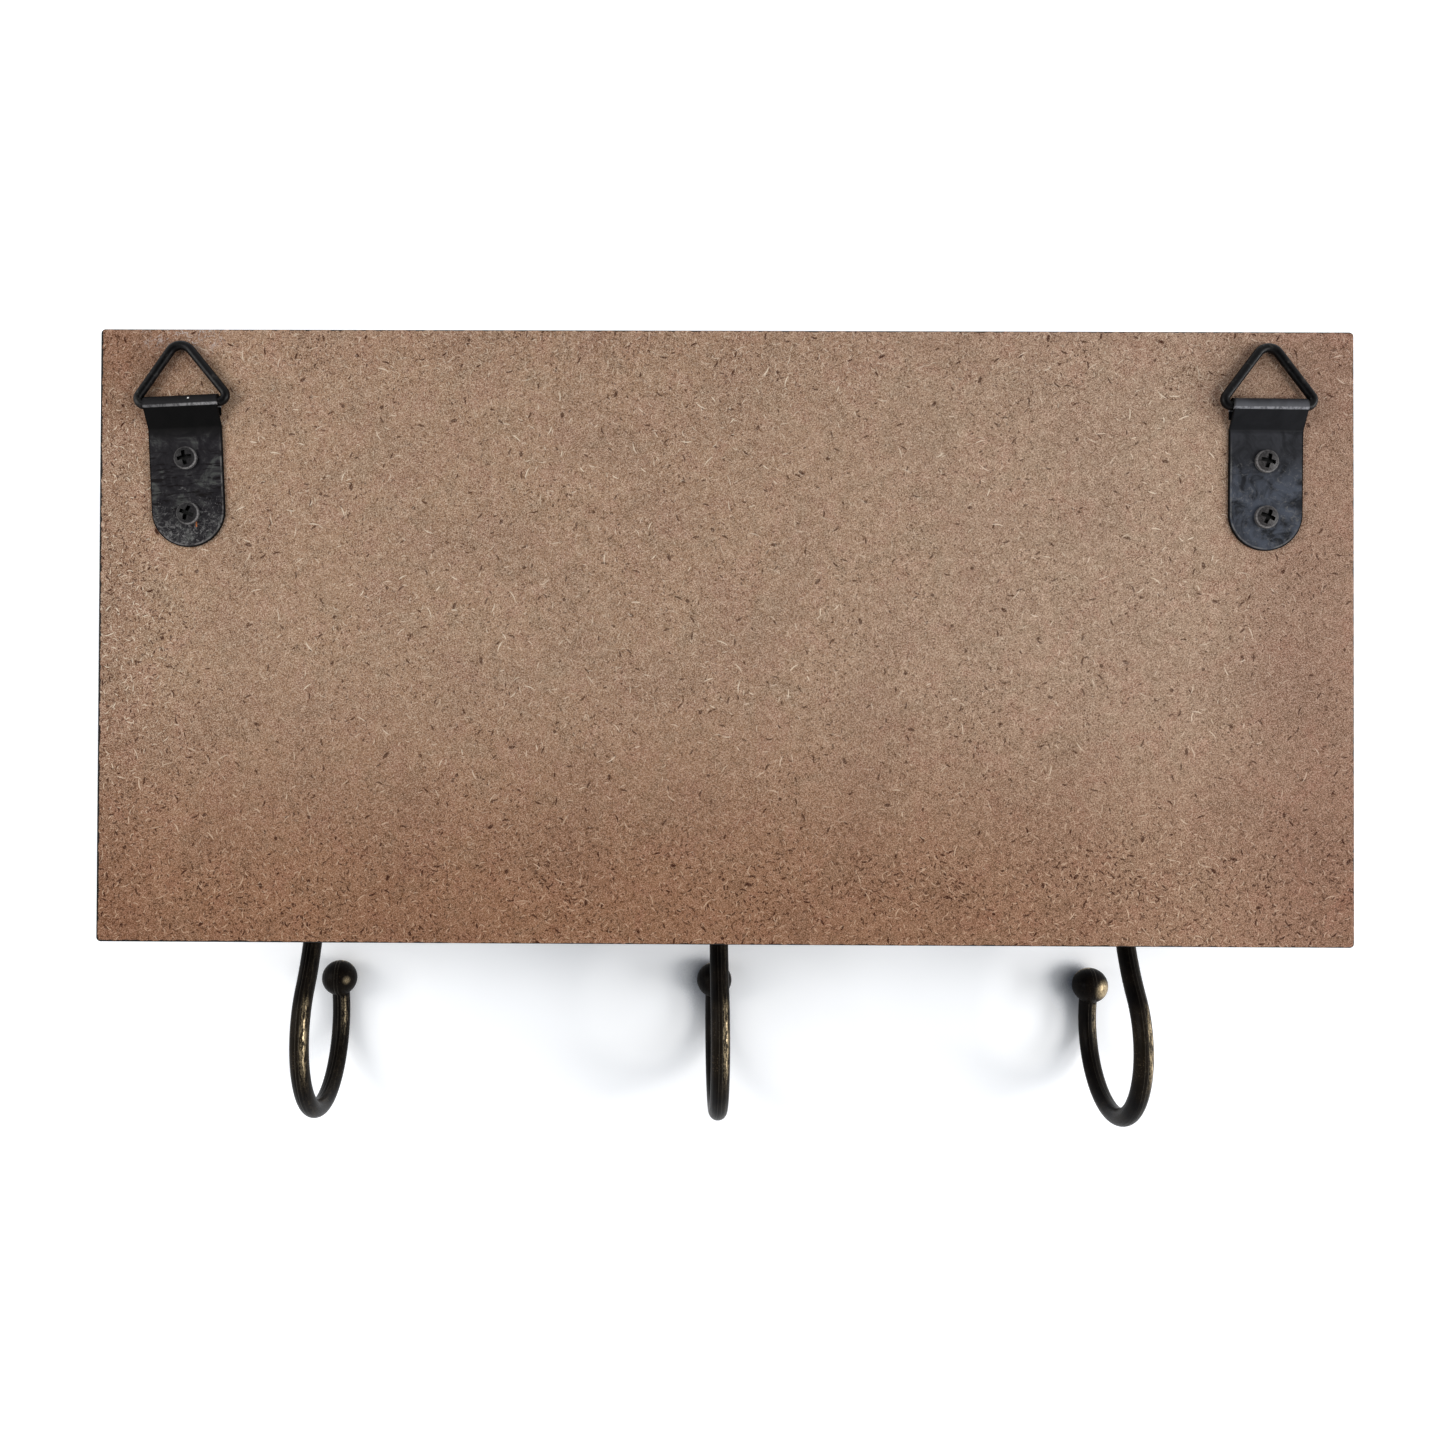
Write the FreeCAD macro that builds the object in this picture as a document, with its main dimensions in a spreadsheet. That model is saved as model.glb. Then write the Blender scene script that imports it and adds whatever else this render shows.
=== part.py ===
"""Wall key holder with two ring hangers on its back and three hooks below its lower edge.

Sizes are millimetres and degrees. The holder is modelled hung: +Z is up and the front faces -Y.
The origin is on the board's vertical centre line, at the height where the two hanging rings bear
on the wall's hooks, in the plane of the board's back face. Left and right are as seen from the front.
"""
import FreeCAD, Part
import os
import re
import Sketcher

Vector = FreeCAD.Vector

# Each row is a size's name, its value and what it measures
SIZES = [
    ("board_width", 301.0, "board, side to side"),
    ("board_height", 147.4, "board, bottom edge to top edge"),
    ("board_thickness", 9.0, "board, back to front"),
    ("board_corner", 1.1, "radius of the board's four corners"),
    ("board_front_round", 0.8, "radius worn along the front edges"),
    ("board_back_round", 0.4, "radius worn along the back edges"),
    ("hanger_inset", 21.4, "board's end to the middle of a hanger's screws"),
    ("hanger_drop", 38.0, "board's top edge to the middle of a hanger's screws"),
    ("hanger_rise", 19.65, "middle of a hanger's screws to the ring's hinge axis"),
    ("left_hanger_lean", -0.5, "left hanger, top turned towards the board's middle"),
    ("right_hanger_lean", 2.9, "right hanger, top turned away from the board's middle"),
    ("strap_width", 17.6, "hanger strap, side to side"),
    ("strap_length", 34.3, "ring's hinge axis to the strap's round end"),
    ("strap_thickness", 0.6, "sheet that the strap is folded from"),
    ("strap_slope", 30.0, "how steeply the sheet comes down from the fold"),
    ("strap_bend", 1.0, "inner radius where the slope meets the flat"),
    ("strap_tab", 3.0, "length of the tab tucked in behind the ring"),
    ("strap_hole", 3.3, "diameter of the strap's screw holes"),
    ("wire_diameter", 2.2, "wire of the ring"),
    ("wire_play", 0.1, "room round the wire inside the fold"),
    ("wire_joint", 0.4, "gap between the ends of the wire, inside the fold"),
    ("ring_side_play", 0.1, "room between the fold's end and the ring's bend"),
    ("ring_height", 14.1, "hinge axis to the middle of the wire at the apex"),
    ("ring_apex", 3.0, "radius of the ring's apex, at the middle of the wire"),
    ("ring_corner", 1.55, "radius of the ring's two lower corners"),
    ("ring_rest_gap", 0.1, "room between the resting ring and the board"),
    ("screw_pitch", 13.3, "spacing of a hanger's two screws"),
    ("screw_head", 5.5, "hanger screw, diameter of the head"),
    ("screw_head_height", 1.7, "hanger screw, height of the head"),
    ("screw_rim", 0.7, "hanger screw, height of the head at its rim"),
    ("screw_shank", 2.6, "hanger screw, diameter of the shank"),
    ("screw_length", 7.6, "hanger screw, under the head"),
    ("screw_point", 1.8, "length of a screw's point"),
    ("screw_seat_play", 0.05, "room round a shank or a sunk head"),
    ("recess_span", 3.5, "cross recess, tip to tip"),
    ("recess_slot", 0.95, "cross recess, width of an arm"),
    ("recess_depth", 1.1, "cross recess, depth"),
    ("hook_inset", 45.5, "board's end to an outer hook"),
    ("hook_root", 18.2, "board's bottom edge to the middle of the arm's root"),
    ("left_hook_drop", 1.0, "how much lower the left hook sits"),
    ("plate_width", 16.0, "hook plate, side to side"),
    ("plate_above", 36.0, "arm's root to the top of the plate"),
    ("plate_below", 9.0, "arm's root to the bottom of the plate"),
    ("plate_thickness", 3.0, "hook plate, back to front"),
    ("plate_round", 1.2, "radius along the plate's front edge"),
    ("rod_diameter", 4.8, "arm of the hook"),
    ("root_fillet", 1.6, "radius where the arm grows out of the plate"),
    ("shoulder_radius", 14.1, "arm's first bend, out and down from the plate"),
    ("shoulder_turn", 111.0, "angle of that bend"),
    ("neck_radius", 47.8, "arm's long sweep back under the board"),
    ("neck_turn", 19.0, "angle of that sweep"),
    ("bowl_radius", 20.75, "bowl of the hook, at the middle of the arm"),
    ("tip_turn", 27.0, "how far the bowl passes the horizontal at its tip"),
    ("ball_diameter", 9.7, "ball on the tip"),
    ("sunk_head", 6.0, "hook screw, diameter of the sunk head"),
    ("sunk_cone", 1.7, "hook screw, depth of the sunk cone"),
    ("sunk_dome", 0.7, "hook screw, height of the dome"),
    ("sunk_shank", 2.8, "hook screw, diameter of the shank"),
    ("sunk_length", 9.5, "hook screw, from the rim of its head to its point"),
    ("low_hole", 12.0, "arm's root to the lower screw of the plate"),
    ("high_hole", 28.0, "arm's root to the upper screw of the plate"),
]

# How far each screw's cross recess is turned from upright, by the screw's name
SCREW_TURNS = {
    "hanger_screw_left_upper": -15.0,
    "hanger_screw_left_lower": -23.0,
    "hanger_screw_right_upper": 11.0,
    "hanger_screw_right_lower": -20.0,
    "hook_screw_left_upper": 40.0,
    "hook_screw_left_lower": 12.0,
    "hook_screw_centre_upper": -25.0,
    "hook_screw_centre_lower": 8.0,
    "hook_screw_right_upper": 30.0,
    "hook_screw_right_lower": -15.0,
}

# Sides as multiples of a distance from the centre line, seen from the front
SIDES = {"left": -1, "right": 1}
HOOK_SIDES = {"left": -1, "centre": 0, "right": 1}


def size(expression):
    """Turn the names of sizes in an expression into references to the sheet."""
    return re.sub(r"[a-z]\w*", lambda word: "Sizes." + word[0] if word[0] in ALIASES else word[0], expression)


ALIASES = {alias for alias, value, note in SIZES}

# Places that several pieces share, worked out from the sizes
BOARD_TOP = "(hanger_drop - hanger_rise - ring_height + wire_diameter / 2)"
BOARD_BOTTOM = f"({BOARD_TOP} - board_height)"
HANGER_X = "(board_width / 2 - hanger_inset)"
HANGER_Z = f"({BOARD_TOP} - hanger_drop)"
BORE_RADIUS = "(wire_diameter / 2 + wire_play)"
HINGE_Y = f"(strap_thickness + {BORE_RADIUS})"
HOOK_X = "(board_width / 2 - hook_inset)"
HOOK_Z = f"({BOARD_BOTTOM} + hook_root)"


def hanger_lean(side):
    """The angle by which a hanger is turned about the board's normal."""
    return f"{side}_hanger_lean"


def hanger_point(side, rise):
    """Where a point of a hanger's centre line lies on the board, as x and z."""
    lean = hanger_lean(side)
    x = f"({SIDES[side]} * {HANGER_X} + {rise} * sin({lean}))"
    z = f"({HANGER_Z} + {rise} * cos({lean}))"
    return x, z


def hook_place(side):
    """Where a hook's arm grows out of its plate, as x and z."""
    drop = "left_hook_drop" if side == "left" else "0"
    return f"({HOOK_SIDES[side]} * {HOOK_X})", f"({HOOK_Z} - {drop})"


def make_sheet(doc):
    """Fill the sheet of driving sizes, one row for each."""
    sheet = doc.addObject("Spreadsheet::Sheet", "Sizes")
    for row, (alias, value, note) in enumerate(SIZES, start=1):
        sheet.set(f"A{row}", note)
        sheet.set(f"B{row}", str(value))
        sheet.setAlias(f"B{row}", alias)
    doc.recompute()


def number(item, expression):
    """The present value of an expression of sizes."""
    found = item.evalExpression(size(expression))
    return float(getattr(found, "Value", found))


def bind(item, target, expression):
    """Drive a property of an object with an expression of sizes."""
    item.setExpression(target, size(expression))


def new_body(doc, name, x="0", y="0", z="0", turn="0"):
    """A body of its own name, placed by expressions and turned about the board's normal."""
    body = doc.addObject("PartDesign::Body", name)
    body.Label = name
    body.Placement = FreeCAD.Placement(Vector(0, 0, 0), FreeCAD.Rotation(Vector(0, 1, 0), 1))
    for axis, place in zip("xyz", (x, y, z)):
        bind(body, f"Placement.Base.{axis}", place)
    bind(body, "Placement.Rotation.Angle", turn)
    return body


def attach(body, item, role, offset=("0", "0", "0")):
    """Lay a sketch or solid on one of its body's origin planes, moved within that plane's axes."""
    plane = next(part for part in body.Origin.OriginFeatures if part.Role == role)
    item.AttachmentSupport = [(plane, "")]
    item.MapMode = "FlatFace"
    for axis, place in zip("xyz", offset):
        bind(item, f"AttachmentOffset.Base.{axis}", place)
    return item


def new_sketch(body, name, role, lift="0"):
    """A sketch on an origin plane, lifted along the plane's normal."""
    sketch = body.newObject("Sketcher::SketchObject", name)
    return attach(body, sketch, role, ("0", "0", lift))


def arc_between(start, end, bend):
    """The arc from start to end with radius abs(bend), anticlockwise where bend is positive."""
    chord = end - start
    half = chord.Length / 2
    reach = max(bend * bend - half * half, 0.0) ** 0.5
    aside = Vector(-chord.y, chord.x, 0).normalize()
    centre = (start + end) * 0.5 + aside * (reach if bend > 0 else -reach)
    first, last = (start, end) if bend > 0 else (end, start)
    axis = Vector(1, 0, 0)
    angles = [axis.getAngle(point - centre) * (1 if point.y >= centre.y else -1) for point in (first, last)]
    return Part.ArcOfCircle(Part.Circle(centre, Vector(0, 0, 1), abs(bend)), *angles)


def draw_chain(sketch, corners, closed=True):
    """Draw a chain of lines and arcs through corners given as expressions.

    A corner is (x, y), or (x, y, sign, radius) where the edge that reaches it is an arc:
    sign is 1 for an anticlockwise arc and -1 for a clockwise one, under half a turn.
    """
    points = [Vector(number(sketch, c[0]), number(sketch, c[1]), 0) for c in corners]
    steps = [(i, i + 1) for i in range(len(corners) - 1)]
    if closed:
        steps.append((len(corners) - 1, 0))
    ends = []
    for begin, finish in steps:
        corner = corners[finish]
        if len(corner) == 2:
            edge = sketch.addGeometry(Part.LineSegment(points[begin], points[finish]), False)
            ends.append((edge, 1, 2))
            continue
        bend = corner[2] * number(sketch, corner[3])
        edge = sketch.addGeometry(arc_between(points[begin], points[finish], bend), False)
        ends.append((edge, 1, 2) if bend > 0 else (edge, 2, 1))
        hold(sketch, "Radius", (edge,), f"radius{edge}", corner[3])
    for (edge, first, last), (begin, finish) in zip(ends, steps):
        hold(sketch, "DistanceX", (edge, first), f"x{begin}", corners[begin][0])
        hold(sketch, "DistanceY", (edge, first), f"y{begin}", corners[begin][1])
    for i in range(len(ends) - 1):
        joint = Sketcher.Constraint("Coincident", ends[i][0], ends[i][2], ends[i + 1][0], ends[i + 1][1])
        sketch.addConstraint(joint)
    if closed:
        sketch.addConstraint(Sketcher.Constraint("Coincident", ends[-1][0], ends[-1][2], ends[0][0], ends[0][1]))
    else:
        edge, first, last = ends[-1]
        hold(sketch, "DistanceX", (edge, last), "x_end", corners[-1][0])
        hold(sketch, "DistanceY", (edge, last), "y_end", corners[-1][1])


def hold(sketch, kind, where, name, expression):
    """Add a dimension to a sketch and drive it with an expression."""
    index = sketch.addConstraint(Sketcher.Constraint(kind, *where, number(sketch, expression)))
    sketch.renameConstraint(index, name)
    bind(sketch, f"Constraints.{name}", expression)


def draw_circle(sketch, x, y, radius):
    """A circle placed and sized by expressions."""
    centre = Vector(number(sketch, x), number(sketch, y), 0)
    circle = Part.Circle(centre, Vector(0, 0, 1), number(sketch, radius))
    edge = sketch.addGeometry(circle, False)
    hold(sketch, "DistanceX", (edge, 3), f"x{edge}", x)
    hold(sketch, "DistanceY", (edge, 3), f"y{edge}", y)
    hold(sketch, "Radius", (edge,), f"radius{edge}", radius)


def extrude(body, kind, name, sketch, length, reverse=False, both=False):
    """A pad or pocket of a sketch."""
    feature = body.newObject(f"PartDesign::{kind}", name)
    feature.Profile = sketch
    bind(feature, "Length", length)
    feature.Reversed = reverse
    feature.Midplane = both
    body.Document.recompute()
    return feature


def round_edges(body, name, base, radius, chosen):
    """Round the edges of a feature for which chosen is true."""
    names = [f"Edge{i}" for i, edge in enumerate(base.Shape.Edges, start=1) if chosen(edge)]
    feature = body.newObject("PartDesign::Fillet", name)
    feature.Base = (base, names)
    bind(feature, "Radius", radius)
    body.Document.recompute()
    return feature


def lies_at_y(edge, y):
    """Whether a whole edge lies in the plane at this depth."""
    return abs(edge.BoundBox.YMin - y) < 1e-6 and abs(edge.BoundBox.YMax - y) < 1e-6


def rounded_rectangle(left, right, low, high, radius):
    """The corners of an upright rectangle with round corners, anticlockwise."""
    return [
        (f"({left} + {radius})", low, 1, radius),
        (f"({right} - {radius})", low),
        (right, f"({low} + {radius})", 1, radius),
        (right, f"({high} - {radius})"),
        (f"({right} - {radius})", high, 1, radius),
        (f"({left} + {radius})", high),
        (left, f"({high} - {radius})", 1, radius),
        (left, f"({low} + {radius})"),
    ]


def make_board(doc):
    """The fibreboard panel, with the blind holes that the screws cut into it."""
    body = new_body(doc, "board")
    outline = new_sketch(body, "board_outline", "XZ_Plane")
    half = "(board_width / 2)"
    draw_chain(outline, rounded_rectangle(f"(0 - {half})", half, BOARD_BOTTOM, BOARD_TOP, "board_corner"))
    panel = extrude(body, "Pad", "board_panel", outline, "board_thickness")
    depth = number(body, "board_thickness")
    front = round_edges(body, "board_front_edge", panel, "board_front_round",
                        lambda edge: lies_at_y(edge, -depth))
    round_edges(body, "board_back_edge", front, "board_back_round", lambda edge: lies_at_y(edge, 0))
    make_hanger_pilots(body)
    make_hook_pilots(body)
    return body


def make_hanger_pilots(body):
    """Holes in the board's back for the shanks of the hanger screws."""
    sketch = new_sketch(body, "hanger_pilots", "XZ_Plane")
    for side in SIDES:
        for sign in (-1, 1):
            x, z = hanger_point(side, f"({sign} * screw_pitch / 2)")
            draw_circle(sketch, x, z, "(screw_shank / 2 + screw_seat_play)")
    depth = "(screw_length - strap_thickness + screw_seat_play)"
    extrude(body, "Pocket", "hanger_pilot_holes", sketch, depth, reverse=True)


def make_hook_pilots(body):
    """Holes in the board's front for the shanks of the hook screws."""
    sketch = new_sketch(body, "hook_pilots", "XZ_Plane", "board_thickness")
    for side in HOOK_SIDES:
        x, z = hook_place(side)
        for hole in ("low_hole", "high_hole"):
            draw_circle(sketch, x, f"({z} + {hole})", "(sunk_shank / 2 + screw_seat_play)")
    depth = "(sunk_length - plate_thickness + screw_seat_play)"
    extrude(body, "Pocket", "hook_pilot_holes", sketch, depth)


def fold_outline():
    """Section of the strap: tab, fold round the wire, slope and flat, as corners in Y and Z."""
    hinge_z = "hanger_rise"
    bore = BORE_RADIUS
    skin = f"({bore} + strap_thickness)"
    slope_sin = "sin(strap_slope)"
    slope_cos = "cos(strap_slope)"
    bend_y = "(strap_thickness + strap_bend)"
    back_bend = "(strap_thickness + strap_bend)"
    slope_length = f"(({HINGE_Y} + {skin} * {slope_cos} - {bend_y} + strap_bend * {slope_cos}) / {slope_sin})"
    bend_z = f"({hinge_z} - ({skin} + strap_bend) * {slope_sin} - {slope_length} * {slope_cos})"
    tab_end = f"({hinge_z} - strap_tab)"
    flat_end = f"({hinge_z} - strap_length + strap_width / 2)"
    return [
        ("0", tab_end),
        ("0", hinge_z),
        (HINGE_Y, f"({hinge_z} + {skin})", -1, skin),
        (f"({HINGE_Y} + {skin} * {slope_cos})", f"({hinge_z} - {skin} * {slope_sin})", -1, skin),
        (f"({bend_y} - strap_bend * {slope_cos})", f"({bend_z} + strap_bend * {slope_sin})"),
        ("strap_thickness", bend_z, 1, "strap_bend"),
        ("strap_thickness", flat_end),
        ("0", flat_end),
        ("0", bend_z),
        (f"({bend_y} - {back_bend} * {slope_cos})", f"({bend_z} + {back_bend} * {slope_sin})", -1, back_bend),
        (f"({HINGE_Y} + {bore} * {slope_cos})", f"({hinge_z} - {bore} * {slope_sin})"),
        (HINGE_Y, f"({hinge_z} + {bore})", 1, bore),
        ("strap_thickness", hinge_z, 1, bore),
        ("strap_thickness", tab_end),
    ]


def make_strap(doc, side):
    """A steel strip folded round the ring's wire, with a round end and two screw holes."""
    x, z = hanger_point(side, "0")
    body = new_body(doc, f"hanger_strap_{side}", x, "0", z, hanger_lean(side))
    fold = new_sketch(body, f"strap_fold_{side}", "YZ_Plane")
    draw_chain(fold, fold_outline())
    extrude(body, "Pad", f"strap_sheet_{side}", fold, "strap_width", both=True)
    tongue = new_sketch(body, f"strap_end_{side}", "XZ_Plane")
    draw_circle(tongue, "0", "(hanger_rise - strap_length + strap_width / 2)", "(strap_width / 2)")
    extrude(body, "Pad", f"strap_round_end_{side}", tongue, "strap_thickness", reverse=True)
    holes = new_sketch(body, f"strap_holes_{side}", "XZ_Plane")
    for sign in (-1, 1):
        draw_circle(holes, "0", f"({sign} * screw_pitch / 2)", "(strap_hole / 2)")
    extrude(body, "Pocket", f"strap_screw_holes_{side}", holes, "(2 * strap_thickness)")
    return body


def ring_path():
    """The right half of the ring's wire, from its joint to its apex, about the hinge axis."""
    half = "(strap_width / 2 + ring_side_play)"
    climb = "(ring_height - ring_apex - ring_corner)"
    span = f"sqrt({half} * {half} + {climb} * {climb})"
    aim = f"(atan({half} / {climb}) - asin((ring_apex - ring_corner) / {span}))"
    apex_z = "(ring_height - ring_apex)"
    return [
        ("(wire_joint / 2)", "0"),
        (half, "0"),
        (f"({half} + ring_corner * cos({aim}))", f"(ring_corner + ring_corner * sin({aim}))", 1, "ring_corner"),
        (f"(ring_apex * cos({aim}))", f"({apex_z} + ring_apex * sin({aim}))"),
        ("0", "ring_height", 1, "ring_apex"),
    ]


def make_ring(doc, side):
    """A triangle of round wire, hinged in the strap's fold and resting against the board."""
    x, z = hanger_point(side, "0")
    body = new_body(doc, f"hanger_ring_{side}", x, "0", z, hanger_lean(side))
    path = new_sketch(body, f"ring_path_{side}", "XZ_Plane")
    path.AttachmentOffset = FreeCAD.Placement(Vector(0, 0, 0), FreeCAD.Rotation(Vector(1, 0, 0), 1))
    bind(path, "AttachmentOffset.Base.y", "hanger_rise")
    bind(path, "AttachmentOffset.Base.z", f"(0 - {HINGE_Y})")
    rest_lean = f"asin(({HINGE_Y} - wire_diameter / 2 - ring_rest_gap) / ring_height)"
    bind(path, "AttachmentOffset.Rotation.Angle", rest_lean)
    draw_chain(path, ring_path(), closed=False)
    wire = new_sketch(body, f"ring_wire_{side}", "YZ_Plane", "(wire_joint / 2)")
    draw_circle(wire, HINGE_Y, "hanger_rise", "(wire_diameter / 2)")
    doc.recompute()
    half_ring = sweep(body, f"ring_half_{side}", wire, path)
    mirror = body.newObject("PartDesign::Mirrored", f"ring_mirror_{side}")
    mirror.Originals = [half_ring]
    plane = next(part for part in body.Origin.OriginFeatures if part.Role == "YZ_Plane")
    mirror.MirrorPlane = (plane, [""])
    body.Tip = mirror
    doc.recompute()
    return body


def sweep(body, name, profile, path):
    """A solid made by sweeping a profile along a whole path."""
    pipe = body.newObject("PartDesign::AdditivePipe", name)
    pipe.Profile = profile
    pipe.Spine = (path, [f"Edge{i + 1}" for i in range(len(path.Shape.Edges))])
    body.Document.recompute()
    return pipe


def cross_outline():
    """The twelve corners of a cross recess, anticlockwise."""
    tip = "(recess_span / 2)"
    side = "(recess_slot / 2)"
    quarter = [(tip, f"(0 - {side})"), (tip, side), (side, side)]
    corners = []
    for step in range(4):
        for x, y in quarter:
            corners.append((x, y))
        quarter = [(f"(0 - {y})", x) for x, y in quarter]
    return corners


def cut_recess(body, name, top, towards_wall):
    """Cut the cross recess into a screw's head, whose top is at this depth along the screw."""
    lift = f"(0 - {top})" if towards_wall else top
    sketch = new_sketch(body, f"{name}_cross", "XZ_Plane", lift)
    draw_chain(sketch, cross_outline())
    extrude(body, "Pocket", f"{name}_recess", sketch, "recess_depth", reverse=towards_wall)


def turned(body, name, corners):
    """A solid turned about the body's Y axis from a half section in X and Y."""
    sketch = new_sketch(body, f"{name}_section", "XY_Plane")
    draw_chain(sketch, corners)
    solid = body.newObject("PartDesign::Revolution", f"{name}_blank")
    solid.Profile = sketch
    solid.ReferenceAxis = (sketch, ["V_Axis"])
    solid.Angle = 360
    body.Document.recompute()
    return solid


def make_hanger_screw(doc, side, level):
    """A pan-head wood screw that holds a strap: its head bears on the strap's sheet."""
    name = f"hanger_screw_{side}_{level}"
    sign = 1 if level == "upper" else -1
    x, z = hanger_point(side, f"({sign} * screw_pitch / 2)")
    body = new_body(doc, name, x, "strap_thickness", z, str(SCREW_TURNS[name]))
    crown = "(screw_head_height - screw_rim)"
    radius = "(screw_head / 2)"
    dome = f"(({radius} * {radius} + {crown} * {crown}) / (2 * {crown}))"
    shank = "(screw_shank / 2)"
    turned(body, name, [
        ("0", "(0 - screw_length)"),
        (shank, "(screw_point - screw_length)"),
        (shank, "0"),
        (radius, "0"),
        (radius, "screw_rim"),
        ("0", "screw_head_height", 1, dome),
    ])
    cut_recess(body, name, "screw_head_height", True)
    return body


def make_hook_screw(doc, side, level):
    """A raised countersunk screw that holds a hook's plate to the board's front."""
    name = f"hook_screw_{side}_{level}"
    x, z = hook_place(side)
    hole = "high_hole" if level == "upper" else "low_hole"
    front = "(0 - board_thickness - plate_thickness)"
    body = new_body(doc, name, x, front, f"({z} + {hole})", str(SCREW_TURNS[name]))
    radius = "(sunk_head / 2)"
    dome = f"(({radius} * {radius} + sunk_dome * sunk_dome) / (2 * sunk_dome))"
    shank = "(sunk_shank / 2)"
    turned(body, name, [
        ("0", "(0 - sunk_dome)"),
        (radius, "0", 1, dome),
        (shank, "sunk_cone"),
        (shank, "(sunk_length - screw_point)"),
        ("0", "sunk_length"),
    ])
    cut_recess(body, name, "sunk_dome", False)
    return body


def arm_path():
    """The middle of the hook's arm in Y and Z, from inside the plate to the ball's centre."""
    shoulder_y = "plate_thickness"
    turn = "(shoulder_turn + neck_turn)"
    neck_y = f"({shoulder_y} - (neck_radius - shoulder_radius) * sin(shoulder_turn))"
    neck_z = "(0 - shoulder_radius - (neck_radius - shoulder_radius) * cos(shoulder_turn))"
    bowl_y, bowl_z = bowl_centre()
    return [
        ("(0 - plate_thickness / 2)", "0"),
        (f"(0 - {shoulder_y})", "0"),
        (f"(0 - {shoulder_y} - shoulder_radius * sin(shoulder_turn))",
         "(shoulder_radius * cos(shoulder_turn) - shoulder_radius)", 1, "shoulder_radius"),
        (f"(0 - {neck_y} - neck_radius * sin({turn}))", f"({neck_z} + neck_radius * cos({turn}))",
         1, "neck_radius"),
        (f"(0 - {bowl_y})", f"({bowl_z} - bowl_radius)", -1, "bowl_radius"),
        (f"(0 - {bowl_y} - bowl_radius * cos(tip_turn))", f"({bowl_z} + bowl_radius * sin(tip_turn))",
         -1, "bowl_radius"),
    ]


def bowl_centre():
    """How far the centre of the bowl lies in front of the plate's back and above the arm's root."""
    turn = "(shoulder_turn + neck_turn)"
    reach = (f"(plate_thickness - (neck_radius - shoulder_radius) * sin(shoulder_turn)"
             f" + (neck_radius + bowl_radius) * sin({turn}))")
    height = (f"((neck_radius + bowl_radius) * cos({turn}) - shoulder_radius"
              f" - (neck_radius - shoulder_radius) * cos(shoulder_turn))")
    return reach, height


def plate_outline():
    """The hook plate, a strip with round ends, about the arm's root."""
    half = "(plate_width / 2)"
    high = f"(plate_above - {half})"
    low = f"({half} - plate_below)"
    return [
        (f"(0 - {half})", low),
        ("0", f"({low} - {half})", 1, half),
        (half, low, 1, half),
        (half, high),
        ("0", f"({high} + {half})", 1, half),
        (f"(0 - {half})", high, 1, half),
    ]


def make_hook(doc, side):
    """A hook cast in one piece: a plate, a swan-necked arm, a round bowl and a ball on its tip."""
    x, z = hook_place(side)
    body = new_body(doc, f"key_hook_{side}", x, "(0 - board_thickness)", z)
    outline = new_sketch(body, f"plate_outline_{side}", "XZ_Plane")
    draw_chain(outline, plate_outline())
    plate = extrude(body, "Pad", f"plate_{side}", outline, "plate_thickness")
    front = -number(body, "plate_thickness")
    round_edges(body, f"plate_edge_{side}", plate, "plate_round", lambda edge: lies_at_y(edge, front))
    path = new_sketch(body, f"arm_path_{side}", "YZ_Plane")
    draw_chain(path, arm_path(), closed=False)
    section = new_sketch(body, f"arm_section_{side}", "XZ_Plane", "(plate_thickness / 2)")
    draw_circle(section, "0", "0", "(rod_diameter / 2)")
    doc.recompute()
    arm = sweep(body, f"arm_{side}", section, path)
    round_edges(body, f"arm_root_{side}", arm, "root_fillet",
                lambda edge: lies_at_y(edge, front) and abs(edge.BoundBox.ZMax + edge.BoundBox.ZMin) < 1e-6)
    add_ball(body, f"ball_{side}")
    sink_plate_holes(body, side)
    return body


def add_ball(body, name):
    """The ball, centred on the end of the arm's path."""
    ball = body.newObject("PartDesign::AdditiveSphere", name)
    y, z = arm_path()[-1][:2]
    attach(body, ball, "XY_Plane", ("0", y, z))
    bind(ball, "Radius", "(ball_diameter / 2)")
    body.Document.recompute()


def sink_plate_holes(body, side):
    """Countersunk holes for the plate's two screws."""
    for hole in ("low_hole", "high_hole"):
        cone = body.newObject("PartDesign::SubtractiveCone", f"{hole}_sink_{side}")
        attach(body, cone, "XZ_Plane", ("0", hole, "(plate_thickness - sunk_cone)"))
        bind(cone, "Radius1", "(sunk_shank / 2 + screw_seat_play)")
        bind(cone, "Radius2", "(sunk_head / 2 + screw_seat_play)")
        bind(cone, "Height", "sunk_cone")
        body.Document.recompute()
    shafts = new_sketch(body, f"plate_holes_{side}", "XZ_Plane")
    for hole in ("low_hole", "high_hole"):
        draw_circle(shafts, "0", hole, "(sunk_shank / 2 + screw_seat_play)")
    extrude(body, "Pocket", f"plate_screw_holes_{side}", shafts, "plate_thickness", reverse=True)


def make_pieces(doc):
    """Every separate piece of the key holder."""
    pieces = [make_board(doc)]
    for side in SIDES:
        pieces.append(make_strap(doc, side))
        pieces.append(make_ring(doc, side))
        for level in ("upper", "lower"):
            pieces.append(make_hanger_screw(doc, side, level))
    for side in HOOK_SIDES:
        pieces.append(make_hook(doc, side))
        for level in ("upper", "lower"):
            pieces.append(make_hook_screw(doc, side, level))
    return pieces


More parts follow.
